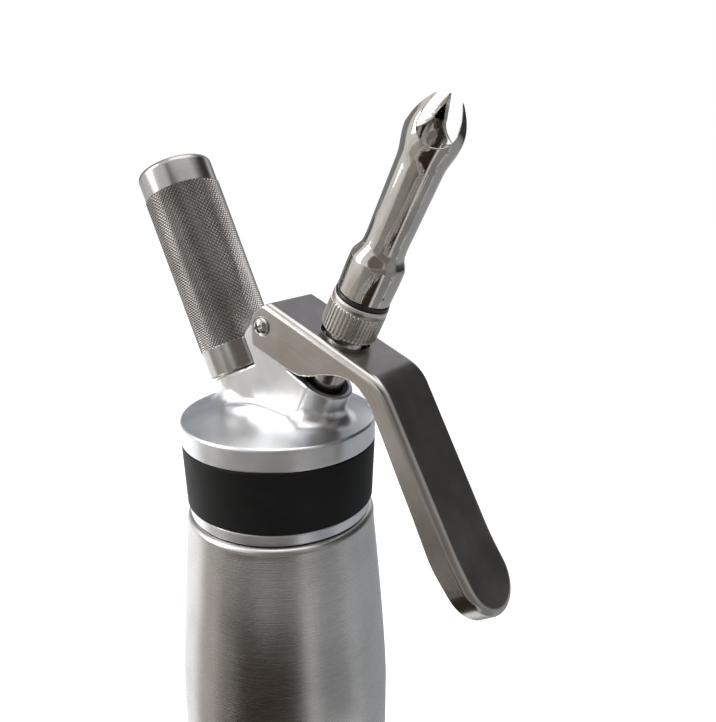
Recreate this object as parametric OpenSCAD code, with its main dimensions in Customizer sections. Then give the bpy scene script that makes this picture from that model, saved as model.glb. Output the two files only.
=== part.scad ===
// Whipped cream dispenser with a tapered steel bottle, a screw-on head, a
// charger holder, a press lever and a tulip decorating nozzle.
// Millimetres, +Z up. The origin is the centre of the bottle's flat base. The
// lever and the nozzle lean to +X, the charger holder leans to -X, and the
// XZ plane is the plane of symmetry.

/* [Bottle] */
// Height of the bottle up to its shoulder
bottle_h = 165; // [140:1:220]
// Diameter of the straight lower part
bottle_d = 78; // [74:0.5:86]
// Height of the straight lower part
straight_h = 100; // [70:1:115]
// Diameter at the rounded shoulder
shoulder_d = 67.2; // [66:0.2:72]
// Thickness of the drawn steel wall
bottle_wall = 1.2; // [0.8:0.1:1.6]
// Thickness of the base
base_wall = 1.6; // [1.2:0.1:3]
// Radius of the rounded edge of the base
base_edge_r = 5; // [3:0.5:8]
// Radius of the rounded shoulder
shoulder_r = 4; // [2:0.5:5]
// Outer diameter of the neck below its thread
neck_d = 56; // [54:0.2:57]
// Height of the neck above the shoulder
neck_h = 19; // [17:0.5:24]
// Pitch of the neck thread
neck_pitch = 3.5; // [3:0.1:4]
// Radial depth of the neck thread
neck_thread = 0.7; // [0.4:0.1:0.9]
// Number of thread turns on the neck
neck_turns = 4; // [2:1:4]

/* [Head] */
// Diameter of the rim above the grip band
rim_d = 67.8; // [65:0.2:72]
// Height of the upright side of the rim
rim_h = 7.9; // [5:0.1:12]
// Diameter of the ring below the grip band
ring_d = 64.4; // [63:0.2:70]
// Height of the ring below the grip band
ring_h = 4.2; // [3:0.1:7]
// Diameter of the groove floor under the grip band
groove_d = 62; // [61.6:0.1:63]
// Height of the grip band
band_h = 22.3; // [19:0.1:27]
// Outer diameter of the grip band at its lower edge
band_low_d = 65.8; // [63:0.2:68]
// Radius of the curve of the head's top
dome_r = 100; // [70:1:160]
// Thickness of the head's top
dome_wall = 6.2; // [4:0.1:7]
// Diameter of the hollow under the head's top
cavity_d = 49; // [46:0.5:50]
// Thickness of the sealing ring in the head
gasket_t = 2.4; // [1.5:0.1:3]
// Gap between the head's lower ring and the bottle's shoulder
head_gap = 0.4; // [0.2:0.1:1]

/* [Tower] */
// Width of the tower between the lever's ears
tower_w = 18.8; // [17:0.1:19]
// Distance of the lever's pivot from the bottle's axis
pivot_x = 4.6; // [3:0.1:6]
// Height of the lever's pivot above the grip band
pivot_h = 41.4; // [40.5:0.1:43]
// Radius of the tower's rounded top round the pivot
pivot_boss_r = 5.5; // [4.5:0.1:5.7]

/* [Charger side] */
// Lean of the charger holder from upright, in degrees
charger_tilt = 26; // [24:0.5:28]
// Where the charger axis crosses the level of the band's top edge, to -X
charger_x = 4.5; // [4:0.1:6]
// Distance of the charger port's face along its axis
port_s = 23.3; // [22:0.1:25]
// Diameter of the charger port's boss
port_d = 23; // [22.6:0.1:26]
// Gap between the port and the holder screwed down on it
port_gap = 0.5; // [0.3:0.1:1]
// Length of the charger holder
holder_l = 76; // [75:0.1:84]
// Diameter over the knurled grip
holder_d = 27; // [26:0.1:28]
// Diameter of the two smooth end rings
holder_ring_d = 26.4; // [25:0.1:27]
// Length of each smooth end ring
holder_ring_l = 9.8; // [6:0.1:14]
// Rounding of the holder's closed end
holder_edge_r = 2; // [0.5:0.1:3]
// Bore of the charger chamber
chamber_d = 19.4; // [18.6:0.1:20]
// Thickness of the holder's closed end
holder_end = 2; // [2:0.1:4]
// Thread diameter of the charger stud
stud_d = 21.8; // [20.6:0.1:22.4]
// Length of the stud above the port's face
stud_l = 11.2; // [9:0.1:12]
// Depth of the stud's thread
stud_thread = 0.6; // [0.3:0.1:0.8]
// Diameter of the stud's spigot in the head
spigot_d = 14; // [12:0.1:16]
// Length of the stud's spigot in the head
spigot_l = 8.4; // [6:0.1:9]
// Bore of the socket for the charger's neck
socket_d = 10.4; // [9.6:0.1:11]
// Depth of the socket for the charger's neck
socket_l = 4.4; // [3:0.1:5]
// Diameter of the piercing pin
pin_d = 2.4; // [2:0.1:3]
// Length of the pin's point above the socket's floor
pin_tip = 3; // [2.4:0.1:3.4]
// Thickness of the ring that seals the charger's neck
charger_seal_t = 2; // [1:0.1:2.2]
// Thickness of the rubber one-way gas valve
gas_seal_t = 2.8; // [2:0.1:3.2]
// Bore of the gas channels
gas_d = 1.2; // [0.8:0.1:1.4]

/* [Valve side] */
// Lean of the valve from upright, in degrees
valve_tilt = 26.5; // [25.5:0.5:27.5]
// Where the valve axis crosses the level of the band's top edge, to +X
valve_x = 9.9; // [9.5:0.1:10.5]
// Distance of the valve port's face along its axis
valve_port_s = 26.5; // [25:0.1:28]
// Diameter of the valve port's boss
valve_port_d = 18.9; // [18:0.1:20]
// Diameter of the well that holds the spring
well_d = 13.4; // [13.2:0.1:14]
// Depth of the spring well below the port's face
well_l = 14.5; // [13:0.1:16]
// Diameter of the black wiper ring in the port's mouth
wiper_d = 15; // [14.4:0.1:16]
// Thickness of the wiper ring
wiper_t = 2.2; // [1.5:0.1:3]
// Diameter of the valve stem
stem_d = 8; // [7.6:0.1:8.2]
// Bore of the valve stem
stem_bore = 4; // [3:0.1:4.2]
// Radial running gap of the stem in its guide
stem_gap = 0.06; // [0.03:0.01:0.1]
// Diameter of the flange at the stem's lower end
poppet_d = 15; // [13:0.1:16]
// Thickness of the flange at the stem's lower end
poppet_t = 2; // [1.5:0.1:3]
// Thickness of the rubber disc on that flange
poppet_seal_t = 2.2; // [1.5:0.1:2.5]
// Diameter of the valve seat's boss under the head's top
seat_d = 18; // [16.5:0.1:19]
// Distance of the valve seat along its axis, below the band's top edge
seat_s = 1.5; // [1:0.1:2.5]
// Thickness of the O-rings on the stem
stem_ring_t = 1.2; // [1:0.1:1.3]
// Outer diameter of the steel collar round the stem
collar_d = 11.2; // [10.8:0.1:11.4]
// Diameter of the collar's flange under the lever
collar_flange_d = 18; // [17.4:0.1:18.6]
// Thickness of the collar's flange
collar_flange_t = 1.4; // [1:0.1:2]
// Length of the collar, down through the wiper ring
collar_l = 18.7; // [17.5:0.1:20]
// Gap between the collar's flange and the lever's plate where they are nearest
lever_gap = 0.5; // [0.3:0.1:1]
// Wire thickness of the valve spring
wire_d = 1.2; // [1:0.05:1.3]
// Number of curls in the valve spring
spring_turns = 4; // [3:1:5]

/* [Nut and nozzle] */
// Diameter of the nut's neck in the lever's slot
nut_neck_d = 12; // [11.6:0.1:12.2]
// Gap between the nut and the lever's plate where they are nearest
nut_gap = 1.6; // [1:0.1:3]
// Height of the nut
nut_h = 11.9; // [9:0.1:13]
// Diameter over the nut's flutes
nut_d = 18.3; // [17.6:0.1:19]
// Height of the nut's smooth collar
nut_collar_h = 2.6; // [1.5:0.1:4]
// Number of flutes round the nut
flutes = 44; // [30:1:52]
// Depth of the flutes
flute_t = 0.35; // [0.2:0.05:0.5]
// Diameter of the nut's threaded spigot in the nozzle
spout_d = 13.2; // [12.6:0.1:13.4]
// Length of that spigot
spout_l = 8.2; // [6:0.1:9]
// Thickness of the nozzle's O-ring
nozzle_ring_t = 1.6; // [1.2:0.1:2]
// Length of the nozzle
nozzle_l = 61.2; // [56:0.1:70]
// Diameter of the nozzle's skirt
skirt_d = 17.2; // [16.6:0.1:19]
// Height of the straight part of the skirt
skirt_l = 11.2; // [10:0.1:14]
// Diameter of the nozzle's tube above the skirt
tube_d = 13.2; // [12.6:0.1:14]
// Diameter of the nozzle's tube below its cup
tube_top_d = 14; // [13:0.1:14.6]
// Height at which the tube begins above the skirt's lower edge
tube_l = 17.2; // [16:0.1:22]
// Height of the cup's foot above the skirt's lower edge
cup_foot = 42; // [38:0.1:44]
// Height of the cup's widest place above the skirt's lower edge
cup_wide = 51; // [48:0.1:52]
// Widest diameter of the tulip cup
cup_d = 16.8; // [16:0.1:20]
// Diameter across the tips of the tines
tips_d = 8.4; // [6:0.1:11]
// Wall of the nozzle
nozzle_wall = 0.9; // [0.7:0.05:1.1]
// Number of tines
tines = 3; // [3:1:6]
// Direction of the first tine round the nozzle, in degrees
tine_turn = 2; // [0:1:120]
// Height of the notches between the tines
notch_l = 12.2; // [10:0.1:16]
// Height of the notches' round foot
notch_foot_l = 5; // [3:0.1:7]
// Width of a tine just above the notches' feet
tine_w = 4.8; // [3:0.1:6]
// Width of a tine at its tip
tine_tip_w = 1; // [0.6:0.1:2]

/* [Lever] */
// Width over the lever's two side walls
lever_w = 23.4; // [23:0.1:26]
// Thickness of the lever's pressed steel
lever_t = 1.8; // [1.5:0.05:2]
// Distance of the top plate's back edge from the bottle's axis
plate_x = 7.1; // [6:0.1:8]
// Height of the top plate's back edge above the grip band
plate_h = 49.2; // [48.8:0.1:49.6]
// Fall of the top plate toward the handle, in degrees
plate_fall = 21.9; // [21:0.1:22.5]
// Length of the top plate up to the bend's corner
plate_l = 48; // [46:0.1:52]
// Fall of the handle from level, in degrees
handle_fall = 61.4; // [58:0.1:64]
// Outer radius of the bend between plate and handle
bend_r = 14; // [10:0.5:18]
// Length of the handle from the bend's corner to its end
handle_l = 76; // [65:0.5:90]
// Length of the end part that flicks outward
flick_l = 20; // [14:0.5:26]
// Outward turn of the end part, in degrees
flick = 6; // [0:0.5:10]
// Depth of the side walls where the handle begins
wall_top = 7; // [5:0.1:9]
// Depth of the side walls near the handle's end
wall_end = 9; // [7:0.1:10]
// Depth of the ears below the top plate
ear_depth = 15.6; // [14.6:0.1:16.4]
// Distance from the pivot to the ears' back edge
ear_back = 4.7; // [4.4:0.1:6]
// Half the length of the slot for the valve
slot_l = 8.4; // [8.2:0.1:8.6]
// Half the width of the slot for the valve
slot_w = 6.7; // [6.5:0.1:7.2]
// Diameter of the pivot pin
pivot_d = 6; // [5:0.1:6.6]
// Radial running gap of the pivot pin in the tower
pivot_gap = 0.05; // [0.03:0.01:0.1]
// Thread diameter of the pivot screws
screw_d = 2.9; // [2.5:0.1:3.2]
// Length of the screws' threads in the pin
screw_l = 5; // [4:0.5:8]
// Diameter of the screws' domed heads
screw_head_d = 6.8; // [5:0.1:7.4]
// Height of the screws' domed heads
screw_head_h = 2.2; // [1.4:0.1:2.6]

/* [Hidden] */
$fn = 96;

// Small overlap that lets a cut run past a face
eps = 0.05;
// Gap between flat faces that press on each other and then part
seal_gap = 0.1;
// Radial clearance of threads and of rubber rings that slide
fit_gap = 0.1;
// Room between the holder and the tower beside it
tower_gap = 0.7;
// Chamfer of small edges
chamfer = 0.6;

// Heights above the bottle's base
ring_z = bottle_h + head_gap;
groove_z = ring_z + ring_h;
collar_z = groove_z + band_h;
rim_top = collar_z + rim_h;
neck_top = bottle_h + neck_h;
gasket_z = neck_top + seal_gap;
ledge_z = gasket_z + gasket_t;
thread_z = bottle_h + 4;

// Radii of the bottle and the head
bottle_r = bottle_d / 2;
shoulder_out_r = shoulder_d / 2;
neck_r = neck_d / 2;
neck_ridge_r = neck_r + neck_thread;
head_bore_r = neck_ridge_r + 0.3;
rim_r = rim_d / 2;
ring_r = ring_d / 2;
groove_r = groove_d / 2;
cavity_r = cavity_d / 2;
dome_z = rim_top - sqrt(pow(dome_r, 2) - pow(rim_r - chamfer, 2));
ceiling_r = dome_r - dome_wall;

// Charger side, measured along the charger axis
holder_s = port_s + port_gap;
holder_r = holder_d / 2;
socket_s = port_s + stud_l - socket_l;
spigot_s = port_s - spigot_l;
holder_bore_r = stud_d / 2 + 0.2;
holder_bore_l = stud_l + 1.2;

// Valve side, measured along the valve axis
lean = valve_tilt - plate_fall;
plate_s = (plate_h - tan(plate_fall) * (valve_x - plate_x))
          / (cos(valve_tilt) + tan(plate_fall) * sin(valve_tilt));
flange_r = collar_flange_d / 2;
collar_top_s = plate_s - lever_t / cos(lean) - flange_r * tan(lean) - lever_gap;
collar_s = collar_top_s - collar_l;
nut_r = nut_d / 2;
nut_s = plate_s + nut_r * tan(lean) + nut_gap;
nut_top_s = nut_s + nut_h;
nozzle_s = nut_top_s + nozzle_ring_t + seal_gap;
stem_r = stem_d / 2;
stem_top_s = nut_top_s + 1;
well_s = valve_port_s - well_l;
wiper_s = valve_port_s - wiper_t - 0.4;
poppet_seal_s = -seat_s - seal_gap - poppet_seal_t;
chamber_r = 5.8;
chamber_top_s = 4;
stem_ring_at = [chamber_top_s + 2.2, well_s - 2.2];
stem_ring_out_r = stem_r + stem_gap - 0.02;

// Valve spring
spring_r = (stem_r + well_d / 2) / 2;
spring_low_s = well_s + wire_d / 2 + seal_gap;
spring_high_s = collar_s - wire_d / 2 - seal_gap;
spring_pitch = (spring_high_s - spring_low_s) / spring_turns;
curl_rings = 8;
curl_sides = 6;

// Lever, in its plane of symmetry as [distance to +X, height above the band]
plate_dir = [cos(plate_fall), -sin(plate_fall)];
plate_in = [-sin(plate_fall), -cos(plate_fall)];
grip_dir = [cos(handle_fall), -sin(handle_fall)];
grip_in = [-sin(handle_fall), -cos(handle_fall)];
end_fall = handle_fall - flick;
end_dir = [cos(end_fall), -sin(end_fall)];
end_in = [-sin(end_fall), -cos(end_fall)];
plate_back = [plate_x, plate_h];
bend_corner = plate_back + plate_l * plate_dir;
bend_tangent = bend_r * tan((handle_fall - plate_fall) / 2);
bend_centre = bend_corner - bend_tangent * plate_dir + bend_r * plate_in;
flick_at = bend_corner + (handle_l - flick_l) * grip_dir;
lever_end = flick_at + flick_l * end_dir;
// A little over half the width, so that the round end meets the sides at a slight angle
end_round_r = 0.51 * lever_w;
ear_x = pivot_x - ear_back;
arch_from = 17;
arch_to = 35;

// Height of the notches' widest place above the nozzle skirt's lower edge
notch_foot_top = nozzle_l - notch_l + notch_foot_l;

echo(spring_gap_to_itself = spring_pitch * cos(atan(spring_pitch / (2 * PI * spring_r))) - wire_d);

function arc(x, y, r, from, to, steps = 8) =
    [for (i = [0 : steps]) let (a = from + (to - from) * i / steps) [x + r * cos(a), y + r * sin(a)]];

// Places children on the charger axis, s along it from the band's level
module on_charger(s = 0)
    translate([-charger_x, 0, collar_z]) rotate([0, -charger_tilt, 0]) translate([0, 0, s]) children();

// Places children on the valve axis, s along it from the band's level
module on_valve(s = 0)
    translate([valve_x, 0, collar_z]) rotate([0, valve_tilt, 0]) translate([0, 0, s]) children();

// Places children at the lever's pivot, with Z turned to the pivot axis
module on_pivot()
    translate([pivot_x, 0, collar_z + pivot_h]) rotate([90, 0, 0]) children();

// A plate whose outline lies in the plane of symmetry, w wide across it
module side_plate(outline, w)
    translate([0, 0, collar_z]) rotate([90, 0, 0]) linear_extrude(w, center = true) polygon(outline);

module tube(outer_r, inner_r, h)
    difference() {
        cylinder(r = outer_r, h = h);
        translate([0, 0, -eps]) cylinder(r = inner_r, h = h + 2 * eps);
    }

module torus(mean_r, tube_r)
    rotate_extrude() translate([mean_r, 0]) circle(r = tube_r, $fn = 24);

// Ridges of a thread as rings: core radius, ridge radius, pitch and number
module ridges(core_r, ridge_r, pitch, count)
    for (i = [0 : count - 1])
        translate([0, 0, i * pitch])
            rotate_extrude()
                polygon([[core_r - 0.4, -pitch * 0.32], [core_r, -pitch * 0.32], [ridge_r, -pitch * 0.1],
                         [ridge_r, pitch * 0.1], [core_r, pitch * 0.32], [core_r - 0.4, pitch * 0.32]]);

// Deep-drawn steel bottle with a threaded neck
module bottle() {
    cone_top = bottle_h - shoulder_r;
    lip = 0.4;
    outer = concat(
        [[0, 0]],
        arc(bottle_r - base_edge_r, base_edge_r, base_edge_r, -90, 0),
        [[bottle_r, straight_h]],
        arc(shoulder_out_r - shoulder_r, cone_top, shoulder_r, 0, 90),
        [[neck_r, bottle_h], [neck_r, neck_top - lip], [neck_r - lip, neck_top]]);
    inner_edge_r = base_edge_r - bottle_wall;
    inner = concat(
        [[neck_r - bottle_wall, neck_top], [neck_r - bottle_wall, bottle_h - bottle_wall]],
        arc(shoulder_out_r - shoulder_r, cone_top, shoulder_r - bottle_wall, 90, 0),
        [[bottle_r - bottle_wall, straight_h]],
        arc(bottle_r - base_edge_r, base_wall + inner_edge_r, inner_edge_r, 0, -90),
        [[0, base_wall]]);
    color("silver") {
        rotate_extrude() polygon(concat(outer, inner));
        translate([0, 0, thread_z]) ridges(neck_r, neck_ridge_r, neck_pitch, neck_turns);
    }
}

// Cast aluminium head: threaded skirt, rim, domed top, tower and two ports
module head_body() {
    dome_edge = acos((rim_r - chamfer) / dome_r);
    ceiling_edge = acos(cavity_r / ceiling_r);
    skin = concat(
        [[0, ring_z], [ring_r, ring_z], [ring_r, groove_z], [groove_r, groove_z], [groove_r, collar_z],
         [rim_r, collar_z], [rim_r, rim_top - chamfer]],
        arc(0, dome_z, dome_r, dome_edge, 90, 10));
    hollow = concat(
        [[0, ring_z - 1], [head_bore_r, ring_z - 1], [head_bore_r, ledge_z], [cavity_r, ledge_z]],
        arc(0, dome_z, ceiling_r, ceiling_edge, 90, 8));
    color("gainsboro")
        difference() {
            union() {
                difference() {
                    union() {
                        rotate_extrude() polygon(skin);
                        tower();
                        charger_boss();
                        valve_boss();
                    }
                    rotate_extrude() polygon(hollow);
                }
                on_valve(-seat_s) cylinder(d = seat_d, h = well_s);
            }
            translate([0, 0, thread_z])
                ridges(head_bore_r, head_bore_r + neck_thread, neck_pitch, neck_turns);
            on_charger(spigot_s - gas_seal_t) cylinder(d = spigot_d, h = 60);
            on_charger(-10) cylinder(d = gas_d, h = 60);
            on_valve(well_s) cylinder(d = well_d, h = 60);
            on_valve(wiper_s) cylinder(d = wiper_d, h = 60);
            on_valve(-seat_s - 1) cylinder(r = stem_r + stem_gap, h = 60);
            on_valve(-seat_s - 1) cylinder(r = chamber_r, h = chamber_top_s + seat_s + 1);
            on_pivot() cylinder(r = pivot_d / 2 + pivot_gap, h = 60, center = true);
        }
}

// Upright web that carries the lever's pivot between the two ports
module tower() {
    beside = holder_r + tower_gap;
    edge = function(s, r) [-charger_x - s * sin(charger_tilt) + r * cos(charger_tilt),
                           s * cos(charger_tilt) + r * sin(charger_tilt)];
    valve_edge = function(s, r) [valve_x + s * sin(valve_tilt) - r * cos(valve_tilt),
                                 s * cos(valve_tilt) + r * sin(valve_tilt)];
    outline = concat(
        [[edge(port_s, 0)[0], rim_h - 2], edge(port_s, 0), edge(port_s, beside), edge(holder_s + 9.6, beside),
         edge(holder_s + 10.8, beside + 1.4)],
        arc(pivot_x, pivot_h, pivot_boss_r, 125, 10, 10),
        [valve_edge(valve_port_s, valve_port_d / 2), valve_edge(valve_port_s, 0), valve_edge(rim_h, 0)]);
    side_plate(outline, tower_w);
}

// Round port under the charger holder, spreading into the dome
module charger_boss()
    on_charger() {
        cylinder(d = port_d, h = port_s);
        translate([0, 0, 8]) cylinder(d1 = port_d + 12, d2 = port_d, h = 11);
    }

// Round port under the lever, spreading into the dome
module valve_boss()
    on_valve() {
        cylinder(d = valve_port_d, h = valve_port_s - chamfer);
        translate([0, 0, valve_port_s - chamfer])
            cylinder(d1 = valve_port_d, d2 = valve_port_d - 2 * chamfer, h = chamfer);
        translate([0, 0, 8]) cylinder(d1 = valve_port_d + 11, d2 = valve_port_d, h = 10);
    }

// Black rubber band in the groove of the head's skirt
module grip_band()
    color("#1c1c1e")
        rotate_extrude()
            polygon([[groove_r, groove_z], [band_low_d / 2, groove_z],
                     [rim_r - 0.1, collar_z], [groove_r, collar_z]]);

// Ring that seals the head on the bottle's neck
module head_gasket()
    color("#8c2f2a")
        translate([0, 0, gasket_z]) tube(head_bore_r, cavity_r, gasket_t);

// Threaded stud that the charger holder screws on to
module charger_stud() {
    core_r = stud_d / 2 - stud_thread;
    color("#b9b4a8")
        on_charger()
            difference() {
                union() {
                    translate([0, 0, spigot_s]) cylinder(d = spigot_d, h = spigot_l + eps);
                    translate([0, 0, port_s]) cylinder(r = core_r, h = stud_l);
                    translate([0, 0, port_s + 2.4]) ridges(core_r, stud_d / 2, 2, 4);
                }
                translate([0, 0, socket_s]) cylinder(d = socket_d, h = socket_l + 1);
                translate([0, 0, spigot_s - 1]) cylinder(d = pin_d, h = 60);
            }
}

// Hollow pin that pierces the charger's neck
module piercing_pin() {
    straight_l = socket_s - spigot_s + pin_tip - pin_d;
    color("#9a9a9c")
        on_charger(spigot_s)
            difference() {
                union() {
                    cylinder(d = pin_d, h = straight_l);
                    translate([0, 0, straight_l]) cylinder(d1 = pin_d, d2 = 0.4, h = pin_d);
                }
                translate([0, 0, -1]) cylinder(d = pin_d * 0.4, h = straight_l + 0.8);
                translate([0, 0, straight_l - 0.6]) rotate([0, 90, 0]) cylinder(d = pin_d * 0.3, h = 4, $fn = 24);
            }
}

// Ring that seals the charger's neck in the stud
module charger_seal()
    color("#8c2f2a")
        on_charger(socket_s) tube(socket_d / 2, pin_d / 2 + fit_gap, charger_seal_t);

// Rubber disc under the stud that lets gas pass one way
module gas_valve_seal()
    color("#8c2f2a")
        on_charger(spigot_s - gas_seal_t) tube(spigot_d / 2, gas_d / 2, gas_seal_t);

// Holder for one gas charger, with a knurled grip between two smooth rings
module charger_holder() {
    end_r = holder_ring_d / 2;
    chamber_top = holder_l - holder_end;
    top_ring = concat([[0, 0], [end_r, 0]],
        arc(end_r - holder_edge_r, holder_ring_l - holder_edge_r, holder_edge_r, 0, 90, 6),
        [[0, holder_ring_l]]);
    color("#a8a49c")
        on_charger(holder_s)
            difference() {
                union() {
                    cylinder(r = end_r, h = holder_ring_l);
                    translate([0, 0, holder_ring_l])
                        cylinder(r = holder_r, h = holder_l - 2 * holder_ring_l);
                    translate([0, 0, holder_l - holder_ring_l]) rotate_extrude() polygon(top_ring);
                }
                translate([0, 0, -1]) cylinder(r = holder_bore_r, h = holder_bore_l + 1);
                cylinder(d = chamber_d, h = chamber_top);
            }
}

// Hollow stem that carries the cream up to the nozzle
module valve_stem() {
    bore_s = 0.4;
    side_hole_s = 2;
    ring_core_r = stem_ring_out_r - stem_ring_t;
    color("#b4b2ae")
        on_valve()
            difference() {
                union() {
                    translate([0, 0, poppet_seal_s - poppet_t]) cylinder(d = poppet_d, h = poppet_t);
                    translate([0, 0, poppet_seal_s]) cylinder(r = stem_r, h = stem_top_s - poppet_seal_s);
                }
                translate([0, 0, bore_s]) cylinder(d = stem_bore, h = stem_top_s);
                translate([0, 0, side_hole_s])
                    rotate([0, 90, 0]) cylinder(d = 2.4, h = 20, center = true, $fn = 32);
                for (s = stem_ring_at)
                    translate([0, 0, s - stem_ring_t * 0.6]) tube(stem_r + 1, ring_core_r, stem_ring_t * 1.2);
            }
}

// Two O-rings that seal the stem in its guide
module stem_o_rings()
    color("#1c1c1e")
        for (s = stem_ring_at)
            on_valve(s) torus(stem_ring_out_r - stem_ring_t / 2, stem_ring_t / 2);

// Rubber disc that closes the valve from inside
module poppet_seal()
    color("#1c1c1e")
        on_valve(poppet_seal_s) tube(poppet_d / 2 - 0.3, stem_r, poppet_seal_t);

function spring_point(turn) =
    [spring_r * cos(360 * turn), spring_r * sin(360 * turn), spring_low_s + spring_pitch * turn];

// Corner of the wire's section at a turn: out from the axis, then up
function wire_corner(turn, side) =
    let (p = spring_point(turn), a = 360 * side / curl_sides, out = wire_d / 2 * cos(a))
    [p[0] + out * cos(360 * turn), p[1] + out * sin(360 * turn), p[2] + wire_d / 2 * sin(a)];

// Coil spring that lifts the stem, one unbroken wire
module valve_spring() {
    rings = curl_rings * spring_turns;
    points = [for (i = [0 : rings]) for (k = [0 : curl_sides - 1]) wire_corner(i / curl_rings, k)];
    at = function(i, k) i * curl_sides + k % curl_sides;
    sides = [for (i = [0 : rings - 1]) for (k = [0 : curl_sides - 1])
             for (f = [[at(i, k), at(i + 1, k), at(i + 1, k + 1)],
                       [at(i, k), at(i + 1, k + 1), at(i, k + 1)]]) f];
    low_cap = [for (k = [1 : curl_sides - 2]) [at(0, 0), at(0, k), at(0, k + 1)]];
    high_cap = [for (k = [1 : curl_sides - 2]) [at(rings, 0), at(rings, k + 1), at(rings, k)]];
    color("#c0c0c0") on_valve() polyhedron(points, concat(sides, low_cap, high_cap));
}

// Steel collar round the stem: the spring lifts it and the lever pushes it down
module stem_collar()
    color("#a09f9c")
        on_valve()
            difference() {
                union() {
                    translate([0, 0, collar_s]) cylinder(d = collar_d, h = collar_l);
                    translate([0, 0, collar_top_s - collar_flange_t])
                        cylinder(r = flange_r, h = collar_flange_t);
                }
                cylinder(r = stem_r, h = 80);
            }

// Black ring that wipes the collar in the port's mouth
module port_wiper()
    color("#1c1c1e")
        on_valve(wiper_s) tube(wiper_d / 2, collar_d / 2 + fit_gap, wiper_t);

// Fluted nut screwed on the stem above the lever
module valve_nut() {
    flute_h = nut_h - nut_collar_h;
    core_r = spout_d / 2 - 0.4;
    bevel = 0.8;
    ring = [for (i = [0 : flutes - 1]) each [
        [(nut_r - flute_t) * cos(360 * i / flutes), (nut_r - flute_t) * sin(360 * i / flutes)],
        [nut_r * cos(360 * (i + 0.35) / flutes), nut_r * sin(360 * (i + 0.35) / flutes)],
        [nut_r * cos(360 * (i + 0.65) / flutes), nut_r * sin(360 * (i + 0.65) / flutes)]]];
    color("#c9c3b6")
        on_valve()
            difference() {
                union() {
                    translate([0, 0, collar_top_s]) cylinder(d = nut_neck_d, h = nut_s - collar_top_s + eps);
                    translate([0, 0, nut_s]) intersection() {
                        linear_extrude(flute_h) polygon(ring);
                        cylinder(r1 = nut_r - bevel, r2 = nut_r - bevel + flute_h, h = flute_h);
                    }
                    translate([0, 0, nut_s + flute_h - eps])
                        cylinder(r = nut_r - flute_t / 2, h = nut_collar_h + eps);
                    translate([0, 0, nut_top_s - eps]) cylinder(r = core_r, h = spout_l + eps);
                    translate([0, 0, nut_top_s + 3]) ridges(core_r, spout_d / 2, 1.6, 3);
                }
                translate([0, 0, collar_top_s - 1]) cylinder(r = stem_r, h = stem_top_s - collar_top_s + 1);
                cylinder(d = stem_bore, h = 100);
            }
}

// O-ring between the nut and the nozzle
module nozzle_o_ring()
    color("#1c1c1e")
        on_valve(nut_top_s + nozzle_ring_t / 2)
            torus(skirt_d / 2 - nozzle_ring_t / 2 + 0.2, nozzle_ring_t / 2);

// Goes smoothly from a to b while t goes from t0 to t1
function ease(a, b, t, t0, t1) = a + (b - a) / 2 * (1 - cos(180 * (t - t0) / (t1 - t0)));

// Outer radius of the nozzle at a height t above its skirt's lower edge
function nozzle_r(t) =
    t < skirt_l ? skirt_d / 2 :
    t < tube_l ? ease(skirt_d, tube_d, t, skirt_l, tube_l) / 2 :
    t < cup_foot ? (tube_d + (tube_top_d - tube_d) * (t - tube_l) / (cup_foot - tube_l)) / 2 :
    t < cup_wide ? ease(tube_top_d, cup_d, t, cup_foot, cup_wide) / 2 :
    (tips_d + (cup_d - tips_d) * cos(90 * (t - cup_wide) / (nozzle_l - cup_wide))) / 2;

// Width of a tine at a height above the skirt's lower edge
function tine_width(t) =
    tine_w + (tine_tip_w - tine_w) * max(0, t - notch_foot_top) / (nozzle_l - notch_foot_top);

// Half the width of a notch at that height, with a round foot
function notch_half_w(t) =
    let (r = nozzle_r(t), foot = max(0, 1 - (t - nozzle_l + notch_l) / notch_foot_l))
    r * sin(180 / tines - asin(tine_width(t) / 2 / r)) * sqrt(max(0, 1 - foot * foot));

// Bright decorating nozzle whose cup is cut into inward-curved tines
module nozzle() {
    steps = function(a, b, n) [for (i = [0 : n]) a + (b - a) * i / n];
    inside_heights = concat(steps(cup_foot, cup_wide, 6), steps(cup_wide + 1.4, nozzle_l, 7));
    heights = concat([0.3], steps(skirt_l, tube_l, 6), inside_heights);
    outer = concat([[skirt_d / 2 - 0.3, 0]], [for (t = heights) [nozzle_r(t), t]]);
    last = len(inside_heights) - 1;
    bore_r = spout_d / 2 + 0.2;
    bore_top = spout_l + 0.4 - nozzle_ring_t;
    inner = concat([for (i = [last : -1 : 0]) [nozzle_r(inside_heights[i]) - nozzle_wall, inside_heights[i]]],
                   [[tube_d / 2 - nozzle_wall, tube_l], [tube_d / 2 - nozzle_wall, bore_top + 1],
                    [bore_r, bore_top], [bore_r, 0]]);
    notch_heights = concat(steps(nozzle_l - notch_l, notch_foot_top, 8), steps(notch_foot_top + 1, nozzle_l, 5));
    half = [for (t = notch_heights) [notch_half_w(t), t]];
    tip = notch_half_w(nozzle_l);
    notch = concat(half, [[tip, nozzle_l + 2], [-tip, nozzle_l + 2]],
                   [for (i = [len(half) - 1 : -1 : 1]) [-half[i][0], half[i][1]]]);
    color("#b5b1ab")
        on_valve(nozzle_s)
            difference() {
                rotate_extrude() polygon(concat(outer, inner));
                for (i = [0 : tines - 1])
                    rotate([0, 0, tine_turn + 360 * (i + 0.5) / tines])
                        rotate([90, 0, 90]) linear_extrude(20) polygon(notch);
            }
}

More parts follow.
